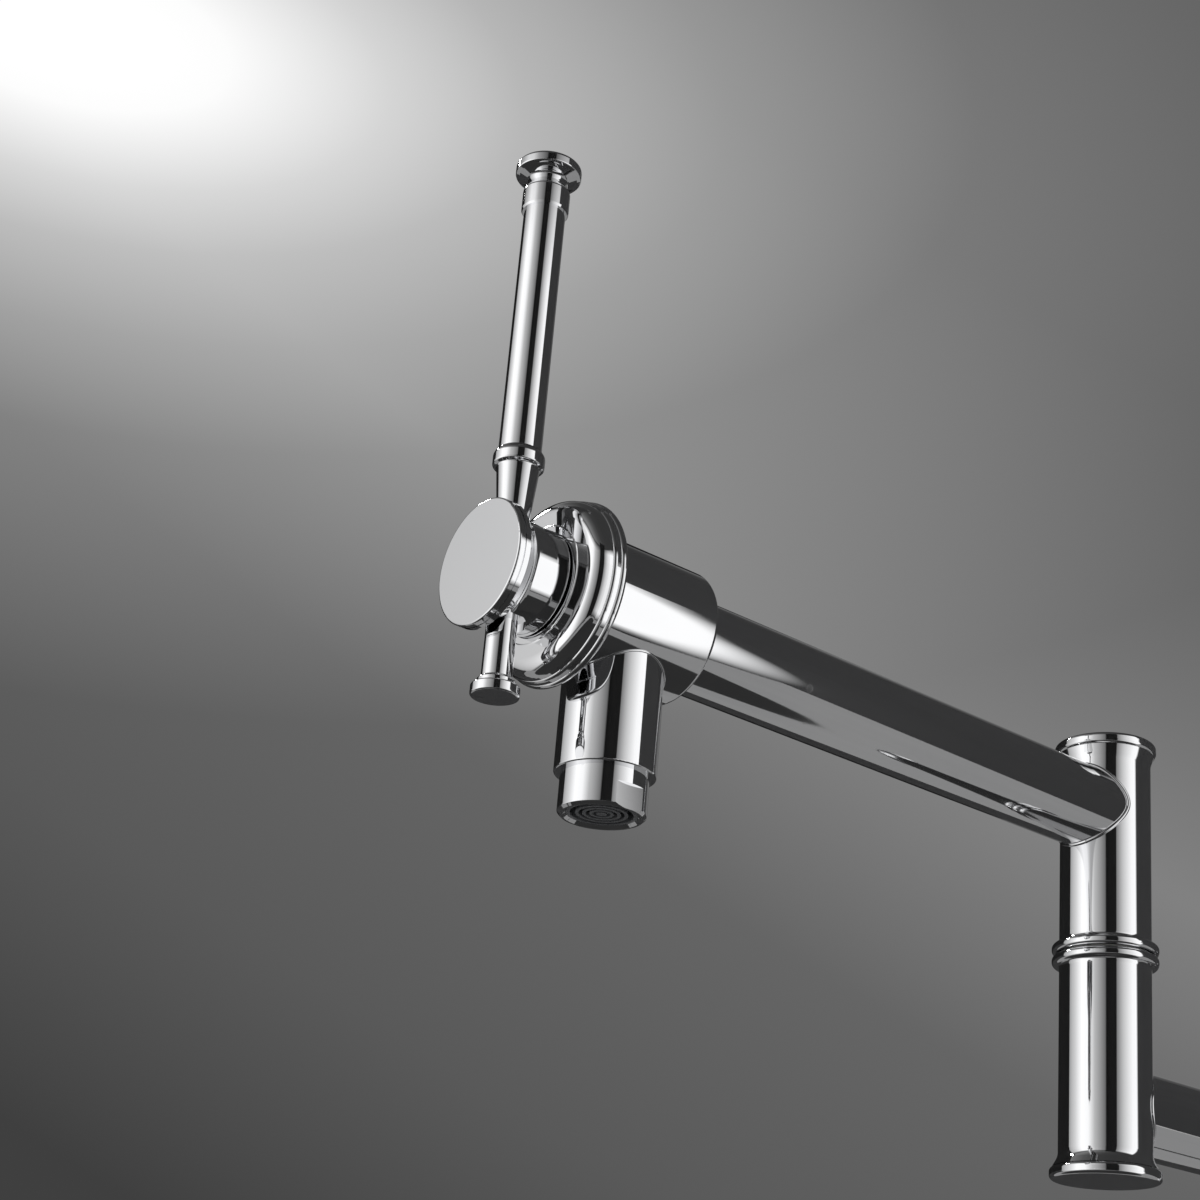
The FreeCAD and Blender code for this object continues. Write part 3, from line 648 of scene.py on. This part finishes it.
# %% Soft panels
PANEL_HEIGHTS = (-0.84, 1.0)
SOFT_END = 0.12
ENDS_FADE = [(0.0, 0.0), (SOFT_END, 1.0), (1.0 - SOFT_END, 1.0), (1.0, 0.0)]


def panel_glow(name, fade, level):
    """Glow of a soft panel from side to side, where level 1 of the ramp times level is the brightest."""
    finish = Finish(bpy.data.materials.new(name))
    place = finish.node("ShaderNodeTexCoord", output="UV")
    across = finish.node("ShaderNodeSeparateXYZ", {}, {"Vector": place}, output="X")
    up = finish.node("ShaderNodeSeparateXYZ", {}, {"Vector": place}, output="Y")
    glow = finish.ramp(across, fade) * finish.ramp(up, ENDS_FADE)
    light = finish.node("ShaderNodeEmission", {}, {"Color": glow, "Strength": level})
    finish.node("ShaderNodeOutputMaterial", {}, {"Surface": light})
    return finish.owner


def panel(name, span, fade, level, lean=0.0):
    """Soft panel: a card that glows."""
    made = card(name, span, PANEL_HEIGHTS, lean)
    made.data.materials.append(panel_glow(name, fade, level))
    print(name, "spans in degrees:", span)


FRONT_FADE = [
    (0.0, 0.30), (0.06, 0.42), (0.20, 0.62), (0.38, 1.0), (0.56, 0.92), (0.72, 0.45), (0.97, 0.14), (1.0, 0.0),
]
SIDE_FADE = [(0.0, 0.0), (0.03, 0.18), (0.32, 0.5), (0.74, 0.88), (0.93, 0.92), (1.0, 0.0)]
panel("front_panel", (-68, 46), FRONT_FADE, level=1.25)
panel("side_panel", (72, 126), SIDE_FADE, level=1.3, lean=9)

# %% [markdown]
# One small bare lamp stands high on the left. Every bead and rim is round enough to catch it somewhere, as a
# tiny sparkle.

# %% The small lamp
LAMP_ANGLE = -74
LAMP_HEIGHT = 0.95
LAMP_SIZE = 0.15
LAMP_LEVEL = 45.0


def small_lamp():
    """Bare round lamp that aims at the middle, as bright per area as its level says, 1 being white."""
    lamp = bpy.data.lights.new("small_lamp", "AREA")
    lamp.shape = "DISK"
    lamp.size = LAMP_SIZE
    lamp.energy = LAMP_LEVEL * math.pi * math.pi * LAMP_SIZE ** 2 / 4
    made = bpy.data.objects.new("small_lamp", lamp)
    bpy.context.scene.collection.objects.link(made)
    made.location = ring_place(LAMP_ANGLE, LAMP_HEIGHT)
    made.rotation_euler = (CENTRE - made.location).to_track_quat("-Z", "Y").to_euler()
    made.visible_camera = False
    return lamp.energy


print("power of the small lamp in W:", round(small_lamp(), 2))

# %% [markdown]
# The flags are cards of dark cloth behind the panels. They keep the two edges of each tube dark, and only the
# chrome sees them.

# %% Dark flags
FLAG_RING = RING + 0.15
DULL = {"roughness": 0.9, "spread": 0.1, "depth": 0.0001}
black_cloth = grained("black_cloth", (0.010, 0.010, 0.010, 1), (0.007, 0.007, 0.007, 1), 40, **DULL)
grey_cloth = grained("grey_cloth", (0.052, 0.052, 0.053, 1), (0.045, 0.045, 0.046, 1), 40, **DULL)


def only_for_chrome(made, cloth):
    """Give a card its cloth, and hide it from all but reflections."""
    made.data.materials.append(cloth)
    made.visible_camera = False
    made.visible_diffuse = False
    made.visible_transmission = False
    made.visible_shadow = False


def flag(name, span, heights, cloth):
    """Upright dark card, a little outside the panels."""
    only_for_chrome(card(name, span, heights, ring=FLAG_RING), cloth)
    print(name, "spans in degrees:", span)


flag("camera_flag", (42, 76), (-0.9, 1.3), black_cloth)
flag("left_flag", (-140, -64), (0.0, 1.3), black_cloth)
flag("low_flag", (-164, -64), (-0.56, 0.0), grey_cloth)
flag("right_flag", (128, 196), (-0.4, 2.2), grey_cloth)

# %% [markdown]
# ## Floor
# The floor is plain and pale, well below the tap. It is a wide disc, so that its far edge makes a straight
# horizon in every view.

# %% Floor
FLOOR = -0.95
FLOOR_REACH = 60.0
OVAL_POINTS = 48
pale = grained(
    "pale_floor", light=(0.74, 0.74, 0.73, 1), dark=(0.72, 0.72, 0.71, 1),
    scale=3, roughness=0.6, spread=0.1, depth=0.0001,
)


def level_oval(name, middle, half_width, half_depth, over_floor=0.0):
    """Level oval sheet of the studio, with its middle at this place along Y."""
    turns = [2 * math.pi * step / OVAL_POINTS for step in range(OVAL_POINTS)]
    height = FLOOR + over_floor
    places = [(half_width * math.cos(turn), middle + half_depth * math.sin(turn), height) for turn in turns]
    mesh = bpy.data.meshes.new(name)
    mesh.from_pydata(places, [], [list(range(OVAL_POINTS))])
    made = bpy.data.objects.new(name, mesh)
    bpy.context.scene.collection.objects.link(made)
    return made


level_oval("floor", 0.0, FLOOR_REACH, FLOOR_REACH).data.materials.append(pale)
print("floor below the wall's inlet in m:", -FLOOR)

# %% [markdown]
# A pale floor would light the underside of the arms like a third panel. The photograph shows a grey underside that
# turns dark close to the outlet, so a grey cloth lies just over the floor with a dark mat on it below the tap, and
# only the chrome sees them.

# %% Grey cloth and dark mat over the floor
table_cloth = grained("table_cloth", (0.37, 0.37, 0.37, 1), (0.33, 0.33, 0.33, 1), 4, **DULL)
dark_mat = grained("dark_mat", (0.032, 0.032, 0.032, 1), (0.024, 0.024, 0.024, 1), 10, **DULL)
only_for_chrome(level_oval("table_flag", -0.30, 3.0, 3.0, over_floor=0.08), table_cloth)
only_for_chrome(level_oval("mat_flag", -0.45, 1.25, 0.91, over_floor=0.10), dark_mat)
print("cloths over the floor:", [cloth.name for cloth in (table_cloth, dark_mat)])

# %% [markdown]
# ## Background
# The room behind is a plain grey, lightest in a soft slanting band at the height of the tap, and darker below it
# and overhead. High on the left a lamp glows on the backdrop, as in the photograph. Both are worked out from the
# direction in the room, so they stay in their place when the camera moves, and the chrome shows them too. What
# only lights dull surfaces is a plain even light, at which a colour looks as it is written.

# %% World
GREY_AXIS = (0.33, 0.39, 1.0)
ROOM_GREYS = [(0.0, 0.05), (0.14, 0.10), (0.28, 0.13), (0.40, 0.22), (0.6, 0.10), (0.8, 0.05), (1.0, 0.04)]
GLOW = Vector((-0.7652, 0.2735, 0.5828)).normalized()
GLOW_SQUEEZE = (1.0, 1.0, 2.7)
GLOW_FADE = [(0.0, 1.0), (0.07, 0.92), (0.14, 0.57), (0.2, 0.37), (0.29, 0.22), (0.4, 0.10), (0.7, 0.0)]
GLOW_WHITE = (1.05, 1.05, 1.05, 1)
PLAIN_LIGHT = (0.75, 0.75, 0.75, 1)


def make_world():
    """Grey room with one lamp's glow on the backdrop."""
    world = bpy.data.worlds.new("studio")
    bpy.context.scene.world = world
    room = Finish(world)

    def vectors(operation, first, second=None, output="Vector"):
        sockets = {0: first} if second is None else {0: first, 1: second}
        return room.node("ShaderNodeVectorMath", {"operation": operation}, sockets, output)

    def is_ray(kind):
        return room.node("ShaderNodeLightPath", output=kind)

    place = room.node("ShaderNodeTexCoord", output="Generated")
    grey = room.ramp(vectors("DOT_PRODUCT", place, GREY_AXIS, output="Value"), ROOM_GREYS)
    away = vectors("MULTIPLY", vectors("SUBTRACT", place, GLOW), GLOW_SQUEEZE)
    glow = room.ramp(vectors("LENGTH", away, output="Value"), GLOW_FADE)
    seen = room.mix(glow, grey, GLOW_WHITE)
    looked_at = is_ray("Is Camera Ray") + is_ray("Is Glossy Ray") + is_ray("Is Transmission Ray")
    light = room.mix(looked_at, PLAIN_LIGHT, seen)
    background = room.node("ShaderNodeBackground", {}, {"Color": light, "Strength": 1.0})
    room.node("ShaderNodeOutputWorld", {}, {"Surface": background})
    return world


print("nodes in the world:", len(make_world().node_tree.nodes))

# %% [markdown]
# ## Finish
# The view transform is the plain one.

# %% The view transform
bpy.context.scene.view_settings.view_transform = "Standard"
